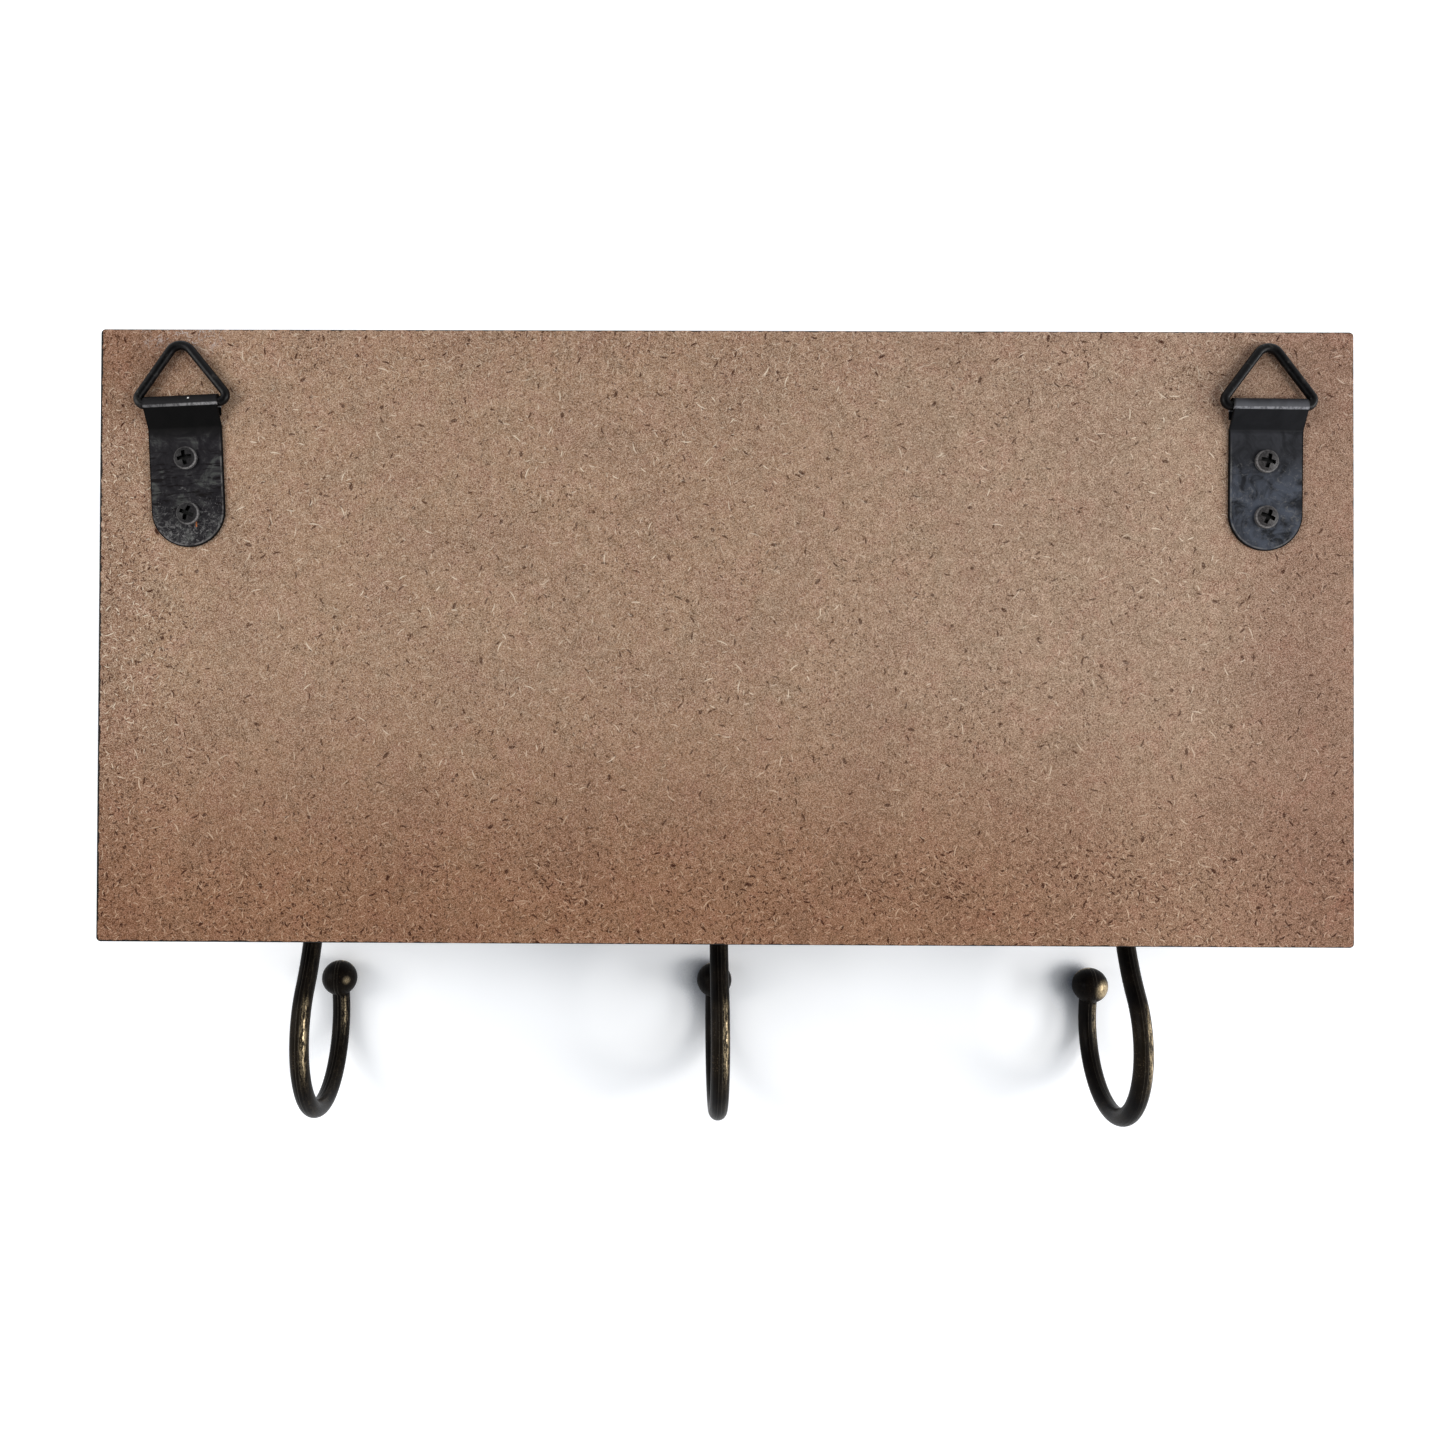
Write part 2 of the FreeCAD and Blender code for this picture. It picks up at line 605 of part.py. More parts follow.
def check_document(doc, pieces):
    """Stop if anything failed to compute or a piece is not one valid solid."""
    for item in doc.Objects:
        if "Invalid" in item.State or "Error" in item.State:
            raise RuntimeError(f"{item.Name} failed: {item.State}")
    for piece in pieces:
        shape = piece.Shape
        if shape.isNull() or not shape.isValid() or len(shape.Solids) != 1:
            raise RuntimeError(f"{piece.Label} is not one valid solid")


def main():
    doc = FreeCAD.newDocument("wall_key_holder")
    make_sheet(doc)
    pieces = make_pieces(doc)
    doc.recompute()
    check_document(doc, pieces)
    os.makedirs("parts", exist_ok=True)
    for piece in pieces:
        piece.Shape.exportStep(f"parts/{piece.Label}.step")


main()
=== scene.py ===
"""The looks of the wall key holder: bare fibreboard back, blackened hangers and bronze hooks.

Lengths are metres, or millimetres where a name or comment says so. The frame is the CAD model's:
+Z up as it hangs, the front towards -Y and the board's back face in the plane Y = 0.
The camera stands behind the board, which lies face down on a pale table.
"""
import math

import bpy
from mathutils import Matrix, Vector


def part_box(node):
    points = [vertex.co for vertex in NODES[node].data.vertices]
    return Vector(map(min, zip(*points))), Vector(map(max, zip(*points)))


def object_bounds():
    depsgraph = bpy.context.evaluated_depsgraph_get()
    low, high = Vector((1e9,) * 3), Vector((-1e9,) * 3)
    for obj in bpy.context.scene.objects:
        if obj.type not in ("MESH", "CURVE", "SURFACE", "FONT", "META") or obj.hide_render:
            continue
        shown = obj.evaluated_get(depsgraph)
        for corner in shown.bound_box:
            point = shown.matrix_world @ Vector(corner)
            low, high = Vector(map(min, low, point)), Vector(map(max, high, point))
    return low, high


MM = 0.001
RIGHT, UP = Vector((1, 0, 0)), Vector((0, 0, 1))

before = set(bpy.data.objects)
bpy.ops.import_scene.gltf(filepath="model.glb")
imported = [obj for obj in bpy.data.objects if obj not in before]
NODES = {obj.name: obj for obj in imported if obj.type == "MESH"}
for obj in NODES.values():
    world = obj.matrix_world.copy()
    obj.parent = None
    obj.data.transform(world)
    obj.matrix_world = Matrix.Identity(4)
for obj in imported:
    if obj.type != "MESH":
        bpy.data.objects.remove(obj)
CAD_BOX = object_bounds()

# Hangers, in millimetres from the middle of a hanger's screws or across its pieces
HINGE_UP = 19.65            # the ring's hinge axis
SLOPE_UP = 13.9             # where the strap's slope meets its flat
STRAP_HALF = 8.8            # half the strap's width
STRAP_END = -14.65          # the strap's round end
HEAD_RADIUS = 2.75          # screw head
HEAD_CROWN = 1.0            # how much higher the head is in the middle than at its rim
CROSS_REACH = 2.0           # how far the cross recess reaches from the head's middle

# Hooks, in millimetres
ROD_RADIUS = 2.4            # arm
BOWL_RADIUS = 20.75         # bowl, at the middle of the arm
BALL_RADIUS = 4.85
TIP_TURN = math.radians(27) # how far the bowl passes the horizontal at its tip
WORN_HIGHLIGHT_SIDE = -1.5          # where the arm is rubbed most and a painted highlight lies, aside from the hook's middle plane
PLATE_HALF = 8.0            # half the plate's width
PLATE_ABOVE = 36.0          # the plate's top above the arm's root
PLATE_BELOW = 9.0           # the plate's bottom below the arm's root
PLATE_FRONT = -12.0         # the plate's front face
SCREWS_UP = 12.0, 28.0      # the plate's screws above the arm's root

WHITE = 1.0, 1.0, 1.0, 1.0


def linear(red, green, blue):
    """A colour given as it looks on screen, 0 to 255, as linear light."""
    def channel(value):
        share = value / 255
        return share / 12.92 if share <= 0.04045 else ((share + 0.055) / 1.055) ** 2.4
    return channel(red), channel(green), channel(blue), 1.0


def middle(name):
    """The centre of a CAD node's box."""
    low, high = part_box(name)
    return (Vector(low) + Vector(high)) / 2


class Look:
    """A material whose nodes are written as short calls. A value is a number, a tuple or a socket."""

    def __init__(self, name):
        self.material = bpy.data.materials.new(name)
        self.material.use_nodes = True
        self.tree = self.material.node_tree
        self.tree.nodes.clear()
        self.output = self.add("ShaderNodeOutputMaterial")

    def add(self, kind, **settings):
        node = self.tree.nodes.new(kind)
        for key, value in settings.items():
            setattr(node, key, value)
        return node

    def feed(self, socket, value):
        if isinstance(value, bpy.types.NodeSocket):
            self.tree.links.new(value, socket)
        else:
            socket.default_value = value

    def sockets(self, node, *values):
        """Feed a node's inputs in order and return its first output."""
        for socket, value in zip(node.inputs, values):
            self.feed(socket, value)
        return node.outputs[0]

    def math(self, operation, *values):
        return self.sockets(self.add("ShaderNodeMath", operation=operation), *values)

    def vector(self, operation, *values):
        node = self.add("ShaderNodeVectorMath", operation=operation)
        self.sockets(node, *values)
        return node.outputs["Value" if operation in ("LENGTH", "DOT_PRODUCT") else "Vector"]

    def length(self, vector):
        return self.vector("LENGTH", vector)

    def dot(self, first, second):
        return self.vector("DOT_PRODUCT", first, second)

    def split(self, vector):
        node = self.add("ShaderNodeSeparateXYZ")
        self.feed(node.inputs[0], vector)
        return node.outputs[0], node.outputs[1], node.outputs[2]

    def join(self, x, y, z):
        return self.sockets(self.add("ShaderNodeCombineXYZ"), x, y, z)

    def place(self, centre=(0.0, 0.0, 0.0)):
        """Where a point lies from a place in the frame, in millimetres."""
        spot = self.add("ShaderNodeTexCoord").outputs["Object"]
        away = self.vector("SUBTRACT", spot, tuple(centre))
        return self.vector("MULTIPLY", away, (1 / MM, 1 / MM, 1 / MM))

    def noise(self, where, size, detail=2.0, rough=0.5, twist=0.0):
        """Smooth noise about 0.5, with grains about this many millimetres wide."""
        node = self.add("ShaderNodeTexNoise")
        self.feed(node.inputs["Vector"], where)
        settings = {"Scale": 1 / size, "Detail": detail, "Roughness": rough, "Distortion": twist}
        for name, value in settings.items():
            node.inputs[name].default_value = value
        return node.outputs[0]

    def ramp(self, value, start, end, low=0.0, high=1.0):
        """Low before start and high past end, with a smooth step between them."""
        node = self.add("ShaderNodeMapRange", interpolation_type="SMOOTHSTEP", clamp=True)
        return self.sockets(node, value, start, end, low, high)

    def mix(self, share, first, second, blend="MIX"):
        """A colour between two."""
        node = self.add("ShaderNodeMix", data_type="RGBA", blend_type=blend)
        named = {socket.identifier: socket for socket in node.inputs}
        for name, value in (("Factor_Float", share), ("A_Color", first), ("B_Color", second)):
            self.feed(named[name], value)
        return next(socket for socket in node.outputs if socket.identifier == "Result_Color")

    def tint(self, share, colour, by):
        """A colour multiplied by another, by a share."""
        return self.mix(share, colour, by, "MULTIPLY")

    def chain(self, operation, first, *rest):
        """One operation over several values, from left to right."""
        result = first
        for value in rest:
            result = self.math(operation, result, value)
        return result

    def product(self, *values):
        return self.chain("MULTIPLY", *values)

    def either(self, *masks):
        """The strongest of several masks."""
        return self.chain("MAXIMUM", *masks)

    def least(self, *values):
        return self.chain("MINIMUM", *values)

    def minus(self, first, second):
        return self.math("SUBTRACT", first, second)

    def band(self, value, centre, half, soft):
        """1 within half of a value's centre, fading out over soft."""
        off = self.math("ABSOLUTE", self.minus(value, centre))
        return self.ramp(off, half + soft, half)

    def threads(self, where, size, width, twist=1.2):
        """Thin winding lines where a noise crosses its middle."""
        wave = self.noise(where, size, 2.0, 0.5, twist)
        return self.ramp(self.math("ABSOLUTE", self.minus(wave, 0.5)), width, 0.0)

    def strokes(self, flat, cell, length, width, curl, share, shift):
        """Short bent strokes lying at random, at most one to a cell, as a mask. Sizes are millimetres."""
        moved = self.vector("ADD", flat, (shift, 0.7 * shift, 0.0))
        cells = self.add("ShaderNodeTexVoronoi", voronoi_dimensions="2D", feature="F1")
        self.feed(cells.inputs["Vector"], moved)
        cells.inputs["Scale"].default_value = 1 / cell
        away = self.vector("SUBTRACT", moved, cells.outputs["Position"])
        draw = self.add("ShaderNodeSeparateColor")
        self.feed(draw.inputs[0], cells.outputs["Color"])
        turn = self.add("ShaderNodeVectorRotate", rotation_type="Z_AXIS")
        self.feed(turn.inputs["Vector"], away)
        self.feed(turn.inputs["Angle"], self.product(draw.outputs[0], 2 * math.pi))
        along, across, _ = self.split(turn.outputs[0])
        bend = self.math("MULTIPLY_ADD", self.product(along, along), curl, across)
        reach = self.ramp(draw.outputs[2], 0.0, 1.0, 0.22 * length, 0.5 * length)
        far = self.length(self.join(self.math("DIVIDE", along, reach),
                                              self.math("DIVIDE", bend, 0.5 * width), 0.0))
        return self.product(self.ramp(far, 1.0, 0.6), self.math("LESS_THAN", draw.outputs[1], share))

    def bump(self, height, depth, base=None):
        """A bumped normal; depth is in metres, for a height of 1."""
        node = self.add("ShaderNodeBump")
        node.inputs["Strength"].default_value = 1.0
        node.inputs["Distance"].default_value = depth
        self.feed(node.inputs["Height"], height)
        if base is not None:
            self.feed(node.inputs["Normal"], base)
        return node.outputs[0]

    def finish(self, colour, roughness, metallic, normal, specular):
        """Close the material with a principled shader."""
        shader = self.add("ShaderNodeBsdfPrincipled")
        for name, value in (("Base Color", colour), ("Roughness", roughness), ("Metallic", metallic),
                            ("Normal", normal), ("Specular IOR Level", specular)):
            self.feed(shader.inputs[name], value)
        self.tree.links.new(shader.outputs[0], self.output.inputs["Surface"])
        return self.material


def board_tone(look, x, flat, high):
    """The fibreboard's broad colour, greyer towards -X as painted cool light and darker by the +X edge as
    painted shade.
    """
    # Painted light: greyer towards -X, the side of the stronger, cooler window
    tone = look.mix(look.ramp(x, 30.0, -105.0), linear(173, 138, 109), linear(173, 143, 118))
    # Painted shade: darker by the +X edge
    tone = look.mix(look.ramp(x, high.x - 20, high.x, 0.0, 0.5), tone, linear(136, 98, 76))
    cloud = look.noise(flat, 8.0, 3.0, 0.6, 0.8)
    tone = look.mix(look.ramp(cloud, 0.5, 0.68, 0.0, 0.48), tone, linear(174, 131, 109))
    tone = look.mix(look.ramp(cloud, 0.5, 0.32, 0.0, 0.4), tone, linear(147, 126, 101))
    drift = look.noise(flat, 24.0, 3.0, 0.55)
    return look.mix(look.ramp(drift, 0.4, 0.7, 0.0, 0.35), tone, linear(140, 108, 88))


def board_grain(look, flat, tone, coarse):
    """Lay fine grain, matted fibres and dark chips over the board's colour; grain and chips come back too.

    Coarse is 1 where the cut is rougher, by the board's edges.
    """
    grain = look.noise(flat, 0.26, 3.0, 0.75, 0.6)
    tone = look.mix(look.ramp(grain, 0.5, 0.28, 0.0, 0.95), tone, linear(70, 37, 14))
    tone = look.mix(look.ramp(grain, 0.5, 0.72, 0.0, 0.92), tone, linear(243, 217, 193))
    patchy = look.ramp(look.noise(flat, 2.6, 3.0), 0.36, 0.64)
    matted_dark = look.either(look.strokes(flat, 1.1, 1.6, 0.24, 0.5, 0.5, 5.0),
                              look.strokes(flat, 0.72, 1.1, 0.2, 0.8, 0.65, 31.0),
                              look.strokes(flat, 0.45, 0.75, 0.16, 0.9, 0.7, 61.0))
    matted_pale = look.either(look.strokes(flat, 1.15, 1.6, 0.2, 0.4, 0.4, 83.0),
                              look.strokes(flat, 0.75, 1.1, 0.18, 0.8, 0.6, 47.0),
                              look.strokes(flat, 0.46, 0.75, 0.15, 0.9, 0.65, 17.0))
    matted_dark = look.product(matted_dark, look.ramp(patchy, 0.0, 1.0, 0.25, 0.62))
    matted_pale = look.product(matted_pale, look.ramp(patchy, 0.0, 1.0, 0.6, 0.3))
    tone = look.mix(matted_dark, tone, linear(80, 43, 16))
    tone = look.mix(matted_pale, tone, linear(234, 208, 184))
    crowd = look.ramp(look.noise(flat, 18.0, 2.0), 0.35, 0.68, 0.4, 1.0)
    chips = look.either(
        look.strokes(flat, 5.6, 2.4, 0.54, 0.2, 0.5, 11.0),
        look.strokes(flat, 13.0, 2.2, 1.0, 0.1, 0.45, 71.0),
        look.product(look.strokes(flat, 2.7, 1.4, 0.46, 0.25, 0.45, 37.0), crowd, 0.95),
        look.product(look.strokes(flat, 1.6, 0.85, 0.48, 0.0, 0.5, 53.0), crowd, 0.9),
        look.product(look.strokes(flat, 2.9, 2.1, 0.5, 0.3, 0.6, 103.0), coarse, crowd),
        look.product(look.strokes(flat, 1.9, 1.3, 0.4, 0.3, 0.7, 29.0), coarse, 0.8),
    )
    chips = look.product(chips, look.ramp(grain, 0.66, 0.46, 0.6, 1.0),
                         look.ramp(coarse, 0.0, 1.0, 0.85, 1.0))
    strewn = look.ramp(look.noise(flat, 30.0, 2.0), 0.4, 0.62, 0.35, 1.0)
    fibres = look.either(
        look.product(look.strokes(flat, 6.5, 3.6, 0.34, 0.12, 0.5, 23.0), strewn),
        look.product(look.strokes(flat, 3.2, 2.0, 0.28, 0.3, 0.4, 91.0), strewn, 0.75),
        look.product(look.strokes(flat, 2.5, 1.9, 0.3, 0.4, 0.65, 67.0), coarse, 0.85),
    )
    tone = look.mix(look.product(chips, 0.92), tone, linear(62, 25, 10))
    tone = look.mix(look.product(fibres, 0.9), tone, linear(236, 218, 194))
    return tone, grain, chips


def board_edge_shade(look, x, z, low, high, tone):
    """Darken and redden the board near its lower, upper and -X edges and in its upper +X corner: painted shade,
    deepest by the lower edge.
    """
    # Painted shade: darker and redder towards the lower edge
    lower = look.product(look.ramp(z, low.z + 74.0, low.z + 2.0), look.ramp(x, -50.0, -140.0, 1.0, 0.6))
    tone = look.tint(lower, tone, (0.76, 0.61, 0.53, 1.0))
    tone = look.tint(look.ramp(x, low.x + 44.0, low.x + 8.0), tone, (0.8, 0.73, 0.73, 1.0))
    tone = look.tint(look.ramp(z, high.z - 14.0, high.z - 1.0), tone, (0.96, 0.93, 0.93, 1.0))
    from_corner = look.vector("SUBTRACT", look.join(x, 0.0, z), (high.x, 0.0, high.z))
    return look.tint(look.ramp(look.length(from_corner), 34.0, 8.0), tone, (0.82, 0.72, 0.68, 1.0))


def board_scuffs(look, x, z, flat, high, tone):
    """Whitish scuffs by the top edge, above the ring of the right hanger."""
    scuff = look.product(
        look.ramp(look.noise(flat, 1.3, 4.0, 0.75, 1.5), 0.53, 0.66),
        look.band(x, middle("hanger_ring_right").x / MM, 5.0, 9.0),
        look.ramp(z, high.z - 8.0, high.z - 1.0),
    )
    return look.mix(look.product(scuff, 0.8), tone, linear(216, 210, 206))


def board_paint(look, where, flat, orange_peel, cloudy, arris):
    """Black paint with hair scratches and dust, rubbed through along the front's arris.

    Where it is rubbed through comes back too.
    """
    paint = look.mix(look.ramp(orange_peel, 0.3, 0.7), linear(19, 16, 15), linear(30, 26, 24))
    paint = look.mix(look.ramp(cloudy, 0.4, 0.65, 0.0, 0.6), paint, linear(38, 34, 32))
    scratch = look.either(look.strokes(flat, 47.0, 40.0, 0.16, 0.004, 0.6, 7.0),
                          look.strokes(flat, 29.0, 22.0, 0.14, -0.006, 0.5, 19.0),
                          look.strokes(flat, 17.0, 9.0, 0.12, 0.01, 0.4, 43.0))
    scratch = look.product(scratch, look.ramp(cloudy, 0.4, 0.6, 0.35, 1.0))
    dust = look.ramp(look.noise(where, 0.5, 2.0), 0.71, 0.76)
    paint = look.mix(look.product(look.either(scratch, dust), 0.4), paint, linear(108, 102, 98))
    bared = look.product(look.ramp(arris, 1.0, 0.45), look.ramp(look.noise(where, 4.0, 5.0, 0.75), 0.52, 0.6))
    return look.mix(bared, paint, linear(122, 90, 66)), bared


def fibreboard():
    """Bare fibreboard on the back, satin black paint on the front, the edges and the rim of the back."""
    look = Look("fibreboard")
    low, high = (Vector(corner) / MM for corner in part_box("board"))
    where = look.place()
    x, y, z = look.split(where)

    # The back's plane, turned by 29 degrees so that the rows of the noise don't line up with the edges
    flat = look.join(look.dot(where, (0.87, 0.0, -0.49)),
                     look.dot(where, (0.49, 0.0, 0.87)), 0.0)
    coarse = look.either(look.ramp(z, low.z + 50.0, low.z + 12.0), look.ramp(x, high.x - 32.0, high.x - 8.0),
                         look.ramp(z, high.z - 24.0, high.z - 3.0, 0.0, 0.7))
    tone = board_tone(look, x, flat, high)
    tone, grain, chips = board_grain(look, flat, tone, coarse)
    tone = board_edge_shade(look, x, z, low, high, tone)
    tone = board_scuffs(look, x, z, flat, high, tone)

    # The paint laps unevenly over the rim of the back, most of all on the right and at the bottom
    from_right, from_left = look.minus(high.x, x), look.minus(x, low.x)
    from_top, from_bottom = look.minus(high.z, z), look.minus(z, low.z)
    near = look.least(look.minus(from_right, 0.35), from_left, from_top,
                      look.minus(from_bottom, look.ramp(x, 60.0, 130.0, 0.0, 0.15)))
    lap = look.ramp(look.noise(flat, 2.6, 4.0, 0.65), 0.3, 0.7, 0.06, 0.4)
    painted = look.either(look.ramp(look.minus(near, lap), 0.08, -0.04), look.ramp(y, -0.2, -0.36))
    orange_peel = look.noise(where, 0.9, 2.0)
    cloudy = look.noise(where, 26.0, 4.0, 0.65)
    arris = look.either(look.minus(y, low.y), look.least(from_right, from_left, from_bottom, from_top))
    paint, bared = board_paint(look, where, flat, orange_peel, cloudy, arris)

    relief = look.minus(look.product(grain, 0.8), look.product(chips, 0.4))
    relief = look.product(relief, look.minus(1.0, painted))
    normal = look.bump(relief, 0.00012, look.bump(look.product(orange_peel, painted), 0.00006))
    roughness = look.either(look.ramp(cloudy, 0.35, 0.7, 0.32, 0.5), look.product(bared, 0.8),
                            look.ramp(painted, 1.0, 0.0, 0.0, 0.85))
    return look.finish(look.mix(painted, tone, paint), roughness, 0.0, normal, 0.1)


def hanger_place(look, hanger):
    """Where a point lies on a hanger in millimetres: across it, off the board and up from between its screws."""
    upper, lower = middle(f"hanger_screw_{hanger}_upper"), middle(f"hanger_screw_{hanger}_lower")
    up = (upper - lower).normalized()
    across = Vector((up.z, 0.0, -up.x))
    centre = (upper + lower) / 2
    where = look.place((centre.x, 0.0, centre.z))
    _, off, _ = look.split(where)
    return where, look.dot(where, tuple(across)), off, look.dot(where, tuple(up))


def strap_edge(look, across, up):
    """How far a point of the strap's flat lies inside its outline, in millimetres."""
    below = look.least(look.minus(up, STRAP_END + STRAP_HALF), 0.0)
    reach = look.length(look.join(across, below, 0.0))
    return look.minus(STRAP_HALF, reach)


def fold_wear_and_highlight(look, across, up, fine, strength, painted_sheen_share):
    """Wear and painted highlight along the fold: a thin bright line where it meets the slope, partly rubbed
    paint and partly painted highlight, and a faint painted sheen over it.
    """
    below = look.ramp(up, HINGE_UP - 1.15, HINGE_UP - 0.95)
    # The thin bright line: partly rubbed paint, partly painted highlight
    line = look.product(look.ramp(up, HINGE_UP - 0.3, HINGE_UP - 0.7), below)
    # Painted sheen over the fold
    sheen = look.product(look.ramp(up, HINGE_UP + 1.5, HINGE_UP - 0.4), below)
    worn = look.product(line, look.ramp(fine, 0.35, 0.6, 0.35, 1.0), strength)
    return look.either(worn, look.product(sheen, painted_sheen_share))


def strap_slope_shade(look, up):
    """Where painted shade lies: the slope between a strap's fold and its flat."""
    return look.product(look.ramp(up, HINGE_UP - 0.95, HINGE_UP - 1.2),
                        look.ramp(up, SLOPE_UP - 0.9, SLOPE_UP + 0.6))


def right_strap():
    """Blackened sheet, scratched across its flat and scuffed pale round its end; painted shade darkens its slope
    and edge, and wear and painted highlight run along its fold, with painted highlight along its edge towards
    the lamp.
    """
    look = Look("blackened_steel_right")
    where, across, off, up = hanger_place(look, "right")
    flat = look.join(across, up, 0.0)
    wide = look.vector("MULTIPLY", flat, (0.16, 1.0, 1.0))
    fine = look.noise(where, 0.6, 4.0, 0.7)
    patches = look.noise(flat, 5.0, 4.0, 0.68, 1.0)
    bands = look.noise(wide, 1.1, 4.0, 0.7, 0.3)
    lower = look.ramp(up, 13.5, 10.0)
    colour = look.mix(look.ramp(patches, 0.3, 0.7), linear(12, 12, 13), linear(24, 22, 23))
    plain = look.mix(look.ramp(patches, 0.35, 0.65), linear(28, 26, 29), linear(50, 48, 50))
    colour = look.mix(lower, colour, plain)
    grey = look.product(look.ramp(patches, 0.5, 0.64), lower, look.ramp(bands, 0.4, 0.6, 0.4, 1.0))
    colour = look.mix(look.product(grey, 0.8), colour, linear(80, 82, 78))
    scratches = look.product(look.ramp(bands, 0.47, 0.4), look.ramp(up, 10.0, 7.0), look.ramp(up, -8.5, -5.0))
    colour = look.mix(look.product(scratches, 0.9), colour, linear(14, 10, 11))
    bright = look.product(look.ramp(bands, 0.58, 0.66), look.ramp(up, 7.0, 0.0),
                          look.ramp(fine, 0.42, 0.58), 0.7)
    lines = look.product(look.threads(flat, 3.0, 0.02, 2.0), look.ramp(up, -1.5, -5.0),
                         look.ramp(fine, 0.38, 0.55))
    end = look.product(look.ramp(look.noise(flat, 1.1, 4.0, 0.75, 0.8), 0.5, 0.64),
                       look.ramp(up, -6.0, -11.0))
    colour = look.mix(look.product(look.either(lines, end, bright), 0.75), colour, linear(132, 130, 128))
    edge = strap_edge(look, across, up)
    rim = look.product(look.band(edge, 0.48, 0.06, 0.2), look.ramp(up, 13.0, 6.0),
                       look.either(look.ramp(across, 1.0, -3.0), look.ramp(up, -10.0, -12.0)),
                       look.ramp(look.noise(where, 2.0, 3.0, 0.6), 0.35, 0.6))
    # Painted highlight along the strap's edge on the side towards the lamp and round its end
    colour = look.mix(look.product(rim, 0.75), colour, linear(120, 116, 114))
    # Painted shade: a dark line along the strap's edge
    colour = look.mix(look.ramp(edge, 0.34, 0.16), colour, linear(5, 5, 5))
    slope = strap_slope_shade(look, up)
    # Painted shade on the slope
    colour = look.mix(look.product(slope, 0.8), colour, linear(6, 6, 6))
    # Wear and painted highlight along the fold
    fold = fold_wear_and_highlight(look, across, up, fine, look.ramp(across, 6.0, -7.5, 0.45, 1.0), 0.04)
    colour = look.mix(fold, colour, linear(158, 156, 156))
    speck = look.product(look.band(across, -2.1, 0.12, 0.15), look.band(up, HINGE_UP + 0.75, 0.12, 0.15))
    colour = look.mix(speck, colour, linear(240, 238, 232))
    rust = look.product(look.band(across, -1.8, 0.1, 0.14), look.band(up, -9.1, 0.7, 0.25))
    colour = look.mix(look.product(rust, 0.9), colour, linear(190, 112, 66))
    relief = look.math("ADD", look.product(fine, 0.5), look.product(scratches, -0.5))
    return look.finish(colour, look.ramp(patches, 0.35, 0.7, 0.4, 0.6), 0.0, look.bump(relief, 0.00005), 0.06)


def left_strap():
    """Blackened sheet with a bluish bloom, smoother than the other one; painted shade darkens its slope and
    edge, and wear and painted highlight run along its fold, with painted highlight along its edge towards the
    lamp.
    """
    look = Look("blackened_steel_left")
    where, across, off, up = hanger_place(look, "left")
    flat = look.join(across, up, 0.0)
    fine = look.noise(where, 0.6, 4.0, 0.7)
    patches = look.noise(flat, 6.0, 4.0, 0.62, 1.2)
    lower = look.ramp(up, 9.0, -1.0, 0.15, 1.0)
    bloom = look.product(look.ramp(patches, 0.36, 0.6, 0.3, 1.0), lower)
    colour = look.mix(look.ramp(patches, 0.3, 0.7), linear(29, 29, 31), linear(49, 48, 50))
    colour = look.mix(look.product(bloom, 0.85), colour, linear(75, 80, 90))
    scuffed = look.product(look.ramp(look.noise(flat, 2.2, 5.0, 0.75, 1.5), 0.5, 0.66),
                           look.ramp(up, 10.0, 4.0), look.ramp(fine, 0.4, 0.58))
    colour = look.mix(look.product(scuffed, 0.5), colour, linear(116, 114, 112))
    shade = look.product(look.ramp(patches, 0.44, 0.34), look.ramp(up, 9.0, 3.0))
    colour = look.mix(look.product(shade, 0.6), colour, linear(14, 14, 16))
    edge = strap_edge(look, across, up)
    rim = look.product(look.band(edge, 0.48, 0.06, 0.2), look.ramp(up, 13.0, 4.0),
                       look.either(look.ramp(across, 2.0, 5.0), look.ramp(up, -7.0, -12.0)),
                       look.ramp(look.noise(where, 2.0, 3.0, 0.6), 0.35, 0.6))
    # Painted highlight along the strap's edge on the side towards the lamp and round its end
    colour = look.mix(look.product(rim, 0.65), colour, linear(116, 114, 112))
    # Painted shade: a dark line along the strap's edge
    colour = look.mix(look.ramp(edge, 0.34, 0.16), colour, linear(5, 5, 5))
    slope = strap_slope_shade(look, up)
    # Painted shade on the slope
    colour = look.mix(look.product(slope, 0.85), colour, linear(9, 10, 14))
    # Wear and painted highlight along the fold
    fold = fold_wear_and_highlight(look, across, up, fine, look.ramp(across, 8.0, -8.0, 0.75, 0.95), 0.22)
    colour = look.mix(fold, colour, linear(150, 150, 154))
    normal = look.bump(look.product(fine, 0.5), 0.00004)
    return look.finish(colour, look.ramp(patches, 0.35, 0.7, 0.38, 0.5), 0.0, normal, 0.07)


def ring_wire():
    """Smooth black wire of a ring with a soft sheen and a few rubbed spots."""
    look = Look("ring_wire")
    where = look.place()
    fine = look.noise(where, 0.7, 4.0, 0.65)
    rubbed = look.product(look.ramp(look.noise(where, 3.0, 4.0, 0.7), 0.54, 0.7), look.ramp(fine, 0.4, 0.6))
    colour = look.mix(look.ramp(fine, 0.35, 0.75), linear(7, 7, 8), linear(15, 14, 15))
    colour = look.mix(look.product(rubbed, 0.5), colour, linear(86, 82, 78))
    return look.finish(colour, look.ramp(fine, 0.3, 0.7, 0.3, 0.42), 0.0, look.bump(fine, 0.00002), 0.12)


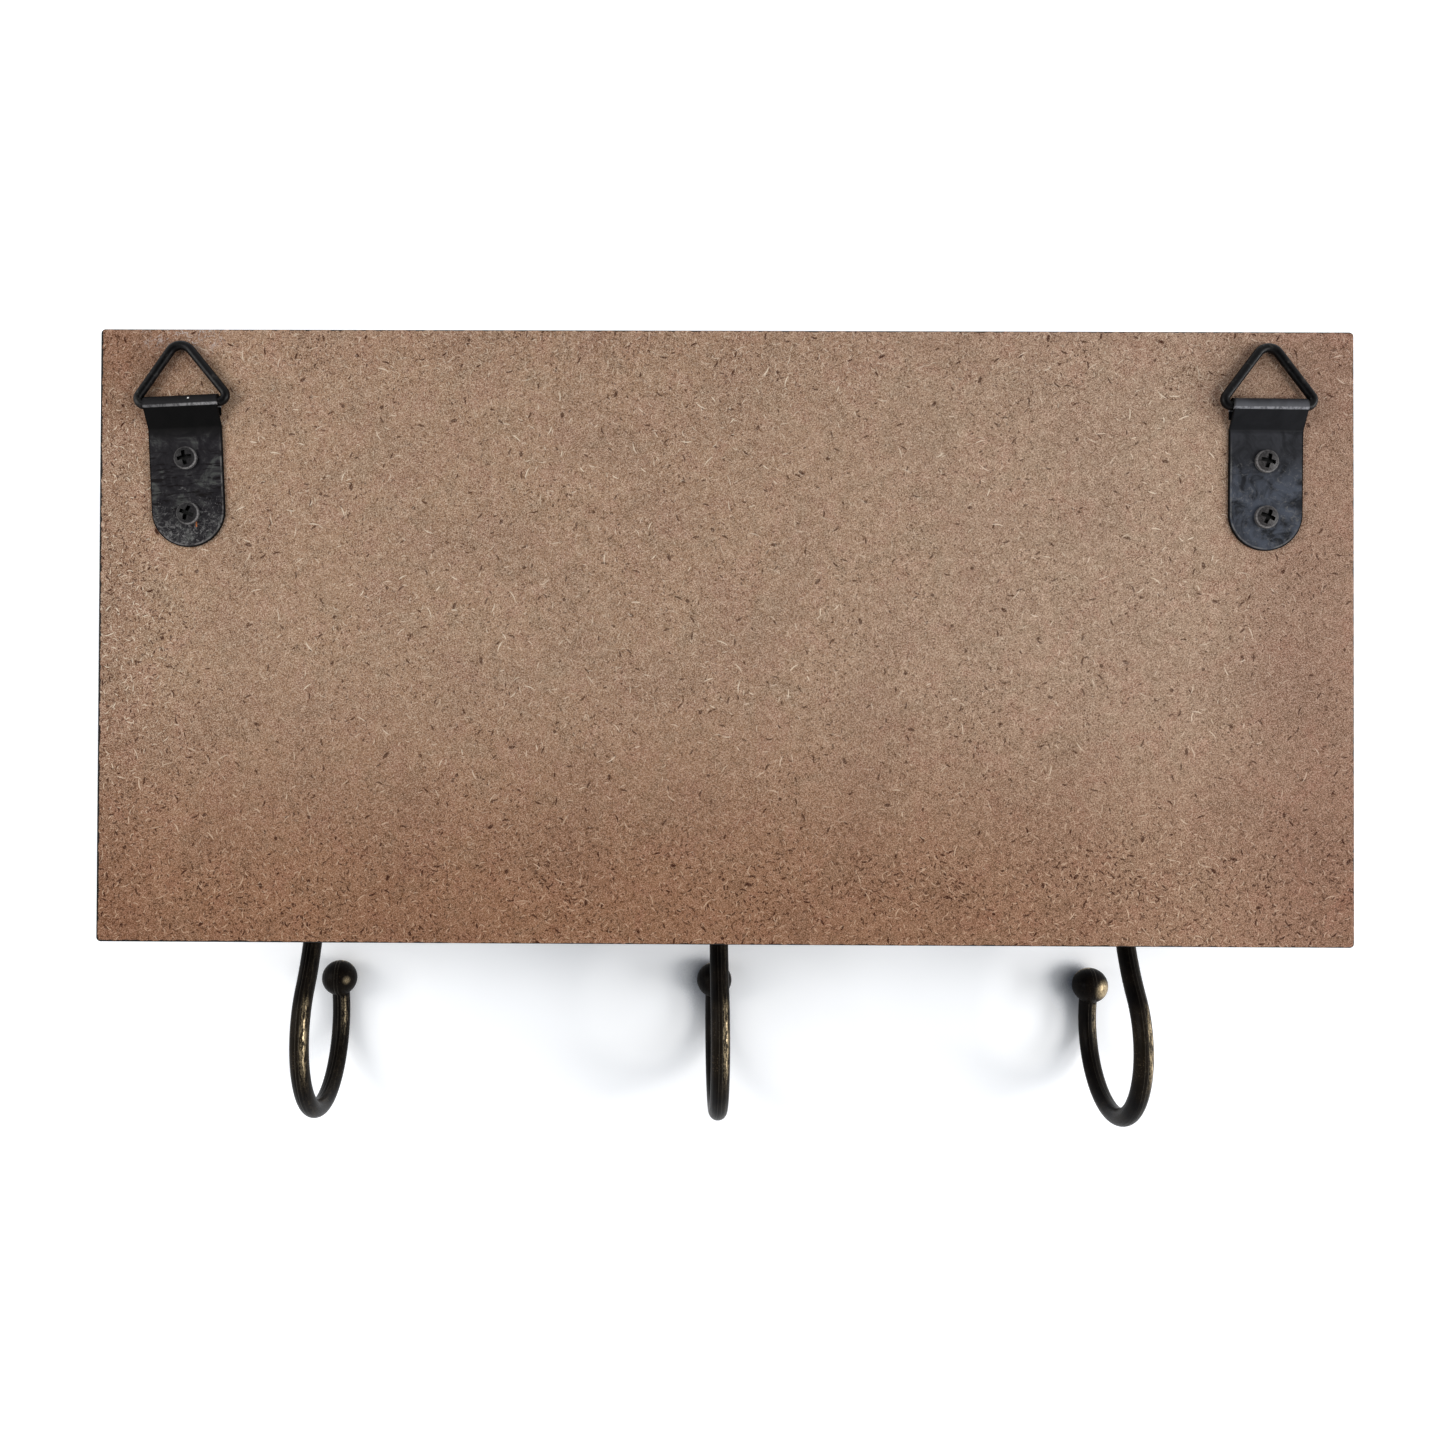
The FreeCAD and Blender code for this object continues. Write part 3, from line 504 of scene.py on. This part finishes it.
def screw_steel(name, lit_side):
    """Dark plated screw head, with a painted highlight along its rim, strongest on the side towards the lamp,
    and darkened inside its cross.
    """
    look = Look(f"screw_steel_{name}")
    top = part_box(name)[1].y / MM
    centre = middle(name)
    where = look.place((centre.x, 0.0, centre.z))
    x, off, z = look.split(where)
    radius = look.length(look.join(x, z, 0.0))
    fine = look.noise(where, 0.4, 3.0, 0.7)
    fall = look.product(radius, radius, HEAD_CROWN / HEAD_RADIUS ** 2)
    depth = look.minus(look.minus(top, fall), off)
    dark_cross = look.product(look.ramp(depth, 0.04, 0.15), look.ramp(radius, CROSS_REACH + 0.3, CROSS_REACH))
    # Painted highlight: the bright band along the rim is strongest on the side towards the lamp
    towards_lamp = look.ramp(look.minus(look.product(x, lit_side), look.product(z, 0.5)),
                       -1.5, 2.0, 0.25, 1.0)
    rubbed = look.product(look.band(radius, 2.56, 0.06, 0.2), look.ramp(fine, 0.3, 0.6, 0.35, 1.0), towards_lamp)
    darker, paler = ((40, 38, 39), (78, 75, 74)) if lit_side > 0 else ((22, 21, 22), (50, 48, 48))
    colour = look.mix(look.ramp(fine, 0.3, 0.7), linear(*darker), linear(*paler))
    colour = look.mix(look.product(rubbed, 0.85), colour, linear(146, 142, 140))
    # Darker inside the cross recess
    colour = look.mix(dark_cross, colour, linear(4, 4, 4))
    return look.finish(colour, 0.4, 0.0, look.bump(fine, 0.00003), 0.12)


def front_wear(look, aside, off, up, root_up, bowl, ball, streaks, specks):
    """Golden wear on the side away from the wall: plate's rim, screws, neck, outside of the bowl and ball."""
    ends = root_up + PLATE_HALF - PLATE_BELOW, root_up + PLATE_ABOVE - PLATE_HALF
    over = look.minus(up, look.least(look.either(up, ends[0]), ends[1]))
    inside = look.minus(PLATE_HALF, look.length(look.join(aside, over, 0.0)))
    rim = look.product(look.ramp(inside, 1.3, 0.6), look.ramp(inside, -0.5, -0.1),
                       look.ramp(off, PLATE_FRONT - 0.6, PLATE_FRONT - 0.3), 0.7)
    heads = [look.length(look.join(aside, look.minus(up, root_up + height), 0.0))
             for height in SCREWS_UP]
    head = look.ramp(look.least(*heads), 2.9, 1.2, 0.0, 0.45)
    width = look.math("ABSOLUTE", aside)
    neck = look.product(look.ramp(width, 1.0, 0.2), look.ramp(off, PLATE_FRONT - 1.0, PLATE_FRONT - 3.0),
                        look.ramp(up, root_up - 20.0, root_up - 16.0))
    bowl_off, bowl_up = bowl
    radial = look.length(look.join(look.minus(off, bowl_off),
                                             look.minus(up, bowl_up), 0.0))
    outside = look.product(look.ramp(radial, BOWL_RADIUS + 1.7, BOWL_RADIUS + 2.3),
                           look.ramp(off, -34.0, -46.0), 0.65)
    ball_off, ball_up = ball
    nose = look.join(aside, look.minus(off, ball_off - BALL_RADIUS), look.minus(up, ball_up))
    nose = look.ramp(look.length(nose), 3.4, 0.8, 0.0, 0.85)
    worn = look.either(rim, head, look.product(neck, 0.7), outside, nose)
    return look.product(worn, look.ramp(streaks, 0.44, 0.6), look.ramp(specks, 0.38, 0.6, 0.15, 1.0))


def antique_bronze(hook, ball_highlight_size):
    """Near-black finish of a cast hook with a parting seam, rubbed golden where it bows out to the wall; that
    golden line and the spot on its ball are partly painted highlight.
    """
    look = Look(f"antique_bronze_{hook}")
    low, high = (Vector(corner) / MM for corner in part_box(f"key_hook_{hook}"))
    ball_off = low.y + BALL_RADIUS
    bowl_up = low.z + ROD_RADIUS + BOWL_RADIUS
    ball_up = bowl_up + BOWL_RADIUS * math.sin(TIP_TURN)
    where = look.place((middle(f"key_hook_{hook}").x, 0.0, 0.0))
    aside, off, up = look.split(where)
    streaks = look.noise(look.vector("MULTIPLY", where, (1.0, 0.2, 0.16)), 0.45, 3.0, 0.7)
    specks = look.noise(where, 0.4, 3.0, 0.75)
    blotch = look.noise(where, 5.0, 3.0, 0.6)

    bow = look.product(look.ramp(off, -15.5, -11.0), look.ramp(up, bowl_up + 15.0, bowl_up + 10.0))
    tip = look.product(look.ramp(off, -44.0, -50.0), look.ramp(up, bowl_up - 9.0, bowl_up))
    reach = look.either(look.product(bow, look.ramp(up, bowl_up - 10.0, bowl_up - 3.0, 0.12, 1.0)),
                        look.product(tip, 0.6), 0.04)
    # Rubbed metal and painted highlight: a bright golden line along the arm where it bows out to the wall
    line = look.either(look.band(aside, WORN_HIGHLIGHT_SIDE, 0.06, 0.3),
                       look.product(look.band(aside, WORN_HIGHLIGHT_SIDE + 0.1, 0.45, 0.5), 0.4),
                       look.product(look.band(aside, WORN_HIGHLIGHT_SIDE + 0.8, 0.04, 0.14), 0.5))
    from_ball = look.length(look.vector("SUBTRACT", where, (0.0, ball_off, ball_up)))
    line = look.product(line, look.ramp(from_ball, BALL_RADIUS + 0.1, BALL_RADIUS + 1.2))
    golden = look.product(line, reach, look.ramp(streaks, 0.42, 0.56),
                          look.ramp(specks, 0.38, 0.56, 0.2, 1.0))
    # Painted highlight on the ball, laid as a rubbed golden spot
    ball_highlight_spot = -2.7, ball_off + 3.6, ball_up + 0.6 - 0.4 * ball_highlight_size
    from_ball_highlight = look.length(look.vector("SUBTRACT", where, ball_highlight_spot))
    golden = look.either(golden, look.product(look.ramp(from_ball_highlight, ball_highlight_size, 0.3 * ball_highlight_size),
                                              look.ramp(specks, 0.36, 0.6, 0.3, 1.0), 0.25 * ball_highlight_size))
    bowl = ball_off + BOWL_RADIUS * math.cos(TIP_TURN), bowl_up
    golden = look.either(golden, front_wear(look, aside, off, up, high.z - PLATE_ABOVE, bowl,
                                            (ball_off, ball_up), streaks, specks))
    speckled = look.product(look.ramp(specks, 0.56, 0.68), look.either(bow, 0.25),
                            look.ramp(blotch, 0.4, 0.6))
    width = look.math("ABSOLUTE", aside)
    seam = look.product(look.band(width, 0.42, 0.03, 0.13), look.ramp(specks, 0.35, 0.55, 0.3, 1.0),
                        look.either(bow, tip, 0.4))

    warm = look.product(bow, look.ramp(up, bowl_up - 20.0, bowl_up))
    colour = look.mix(look.ramp(blotch, 0.35, 0.65), linear(11, 9, 9), linear(21, 17, 14))
    colour = look.mix(look.product(warm, 0.35), colour, linear(44, 37, 27))
    colour = look.mix(look.product(seam, 0.35), colour, linear(98, 92, 82))
    colour = look.mix(look.product(speckled, 0.45), colour, linear(120, 104, 80))
    colour = look.mix(look.product(golden, 0.9), colour, linear(206, 184, 146))
    grooves = look.math("SINE", look.product(aside, 8.0))
    relief = look.math("ADD", look.product(look.ramp(width, 0.56, 0.4), 0.8),
                       look.product(grooves, 0.12))
    relief = look.math("ADD", relief, look.product(specks, 0.25))
    return look.finish(colour, look.ramp(specks, 0.3, 0.7, 0.28, 0.42), look.product(golden, 0.8),
                       look.bump(relief, 0.0001), 0.03)


def dress():
    """Give every CAD node its material."""
    looks = {
        "board": fibreboard(),
        "hanger_strap_left": left_strap(),
        "hanger_strap_right": right_strap(),
        "hanger_ring": ring_wire(),
    }
    for hook, ball_highlight_size in (("left", 3.4), ("centre", 2.0), ("right", 1.5)):
        looks[f"key_hook_{hook}"] = looks[f"hook_screw_{hook}"] = antique_bronze(hook, ball_highlight_size)
    for name, node in NODES.items():
        if name.startswith("hanger_screw"):
            look = screw_steel(name, 1 if "left" in name else -1)
        else:
            look = next(looks[key] for key in looks if name.startswith(key))
        node.data.materials.clear()
        node.data.materials.append(look)


def look_along(item, place, target, up=UP):
    """Place a camera or lamp and turn it towards a target."""
    back = (Vector(place) - Vector(target)).normalized()
    right = up.cross(back).normalized()
    turn = Matrix((right, back.cross(right), back)).transposed()
    item.matrix_world = Matrix.Translation(Vector(place)) @ turn.to_4x4()


def link(name, data):
    """A new object in the scene."""
    item = bpy.data.objects.new(name, data)
    bpy.context.scene.collection.objects.link(item)
    return item


def add_camera():
    """The photographer's camera: almost square to the board's back, 30 cm from it."""
    image, focal = 1445.0, 1254.0          # pixels
    axis_right, axis_down = -67.1, -3.4    # the lens axis from the image's middle, pixels
    yaw, pitch, roll = 0.0056, 0.0096, -0.0043
    place = Vector((14.8, 300.4, -91.0))   # mm
    data = bpy.data.cameras.new("camera")
    data.sensor_width = 36.0
    data.lens = data.sensor_width * focal / image
    data.shift_x = -axis_right / image
    data.shift_y = axis_down / image
    data.clip_start, data.clip_end = 0.01, 20.0
    camera = link("camera", data)
    square = Matrix((-RIGHT, UP, Vector((0, 1, 0)))).transposed()
    tilt = (Matrix.Rotation(roll, 3, Vector((0, -1, 0))) @ Matrix.Rotation(pitch, 3, -RIGHT)
            @ Matrix.Rotation(yaw, 3, UP))
    camera.matrix_world = Matrix.Translation(place * MM) @ (tilt @ square).to_4x4()
    bpy.context.scene.camera = camera


def add_lamp(name, place, target, width, height, watts, colour):
    """A soft rectangular lamp."""
    data = bpy.data.lights.new(name, "AREA")
    data.shape = "RECTANGLE"
    data.size, data.size_y = width, height
    data.energy = watts
    data.color = colour
    look_along(link(name, data), place, target)


def seen_plainly(tree):
    """1 for the rays by which the camera, metal and glass see a background, and 0 for the rest."""
    path = tree.nodes.new("ShaderNodeLightPath")
    total = path.outputs["Is Camera Ray"]
    for name in ("Is Glossy Ray", "Is Transmission Ray"):
        node = tree.nodes.new("ShaderNodeMath")
        node.operation = "MAXIMUM"
        tree.links.new(total, node.inputs[0])
        tree.links.new(path.outputs[name], node.inputs[1])
        total = node.outputs[0]
    return total, path


def add_world():
    """White where it is seen, and a dimmer, slightly cool sky where it lights."""
    world = bpy.data.worlds.new("studio")
    bpy.context.scene.world = world
    world.use_nodes = True
    tree = world.node_tree
    background = next(node for node in tree.nodes if node.type == "BACKGROUND")
    mix = tree.nodes.new("ShaderNodeMix")
    mix.data_type = "RGBA"
    sockets = {socket.identifier: socket for socket in mix.inputs}
    tree.links.new(seen_plainly(tree)[0], sockets["Factor_Float"])
    sockets["A_Color"].default_value = (0.52, 0.55, 0.60, 1.0)
    sockets["B_Color"].default_value = WHITE
    result = next(socket for socket in mix.outputs if socket.identifier == "Result_Color")
    tree.links.new(result, background.inputs["Color"])
    background.inputs["Strength"].default_value = 1.0


def add_panel(name, half_x, half_z, y, centre_z, material):
    """An upright stage panel that faces +Y."""
    mesh = bpy.data.meshes.new(name)
    corners = [(half_x, y, centre_z - half_z), (-half_x, y, centre_z - half_z),
               (-half_x, y, centre_z + half_z), (half_x, y, centre_z + half_z)]
    mesh.from_pydata(corners, [], [(0, 1, 2, 3)])
    mesh.materials.append(material)
    panel = link(name, mesh)
    return panel


TABLE_HALF = 1.5            # m
TABLE_GAP = 0.2             # between the balls and the table, mm
CONTACT_REACH = 0.024       # how near a piece darkens the table, m
SHADE_REACH = 0.06          # how near a piece tints it, m


def table_shadow(look, x, z):
    """1 on the clear table and less close to a piece, on the side that the window leaves dark."""
    lean = look.ramp(x, -110.0, 110.0, -1.2, -0.4)
    near = look.add("ShaderNodeAmbientOcclusion", samples=8)
    near.inputs["Distance"].default_value = CONTACT_REACH
    look.feed(near.inputs["Normal"], look.vector("NORMALIZE", look.join(lean, 1.0, -0.25)))
    deepest = look.either(look.ramp(x, 100.0, 0.0, 0.75, 0.02), look.ramp(z, -160.0, -178.0, 0.02, 0.85))
    return look.ramp(near.outputs["AO"], 0.34, 0.9, deepest, 1.0)


def table_glow(look, x, z, seen, dimmed):
    """What lifts the table to white where it is seen: painted light, stronger towards +X, above the board and
    far out, and weakest just below the board as painted shade.
    """
    glow = look.add("ShaderNodeEmission")
    # Painted light: more glow above the board, lifting the board's shadow there, and far from the pieces
    around = look.math("ADD", look.ramp(z, -30.0, 20.0, 0.0, 0.4),
                       look.ramp(look.length(look.place()), 260.0, 500.0, 0.0, 0.6))
    # Painted shade: less glow just below the board
    under = look.product(look.ramp(z, -168.0, -148.0, 0.0, -0.14),
                         look.ramp(look.math("ABSOLUTE", x), 145.0, 125.0))
    strength = look.math("ADD", look.math("ADD", look.ramp(x, 20.0, 90.0, 0.3, 0.42), around), under)
    look.feed(glow.inputs["Strength"], look.product(seen, dimmed, strength))
    shade = look.add("ShaderNodeAmbientOcclusion", samples=6)
    shade.inputs["Distance"].default_value = SHADE_REACH
    shade.inputs["Color"].default_value = (0.94, 0.97, 1.0, 1.0)
    look.feed(glow.inputs["Color"], shade.outputs["Color"])
    return glow.outputs[0]


def add_table():
    """The pale table under the face-down holder: shadows fall on it, and from below it is clear."""
    look = Look("table")
    seen, path = seen_plainly(look.tree)
    x, _, z = look.split(look.place())
    dimmed = table_shadow(look, x, z)
    white = look.add("ShaderNodeBsdfDiffuse")
    # Painted shadow: the table's colour darkens close to the pieces
    look.feed(white.inputs["Color"], look.mix(dimmed, (0.05, 0.075, 0.13, 1.0), WHITE))
    lit = look.sockets(look.add("ShaderNodeAddShader"), white.outputs[0], table_glow(look, x, z, seen, dimmed))
    clear = look.add("ShaderNodeBsdfTransparent")
    below = look.add("ShaderNodeNewGeometry").outputs["Backfacing"]
    through = look.either(below, path.outputs["Is Shadow Ray"])
    both = look.sockets(look.add("ShaderNodeMixShader"), through, lit, clear.outputs[0])
    look.tree.links.new(both, look.output.inputs["Surface"])
    add_panel("table", TABLE_HALF, TABLE_HALF, CAD_BOX[0].y - TABLE_GAP * MM, 0.0, look.material)


def add_flag():
    """A dark panel above the camera, where the photographer stands: it darkens what smooth metal mirrors."""
    look = Look("flag")
    dark = look.add("ShaderNodeBsdfDiffuse")
    look.feed(dark.inputs["Color"], (0.02, 0.02, 0.02, 1.0))
    look.tree.links.new(dark.outputs[0], look.output.inputs["Surface"])
    flag = add_panel("flag", 0.26, 0.32, 0.42, -0.14, look.material)
    flag.visible_camera = False


# Each lamp's name, place and size in metres, watts and colour
LAMPS = (
    ("window_right", (-0.80, 0.26, -0.16), (0.12, 0.5), 3.4, (0.97, 0.98, 1.0)),
    ("window_left", (0.80, 0.36, 0.02), (0.12, 0.5), 1.3, (1.0, 0.97, 0.93)),
    ("high_right", (-0.48, 0.40, -0.20), (0.2, 0.2), 1.3, (1.0, 0.98, 0.95)),
    ("high_left", (0.45, 0.34, 0.0), (0.2, 0.2), 0.8, (1.0, 0.98, 0.95)),
    ("front", (-0.5, -1.0, 0.6), (0.8, 0.8), 9.0, (1.0, 0.98, 0.95)),
)


def add_lights():
    """A low window at the photograph's right, a weaker one at its left, and lamps for the back and front."""
    centre = Vector((0.0, 0.0, -0.08))
    for name, place, (width, height), watts, colour in LAMPS:
        add_lamp(name, place, centre, width, height, watts, colour)


dress()
add_camera()
add_world()
add_table()
add_flag()
add_lights()

bpy.context.scene.view_settings.view_transform = "Standard"
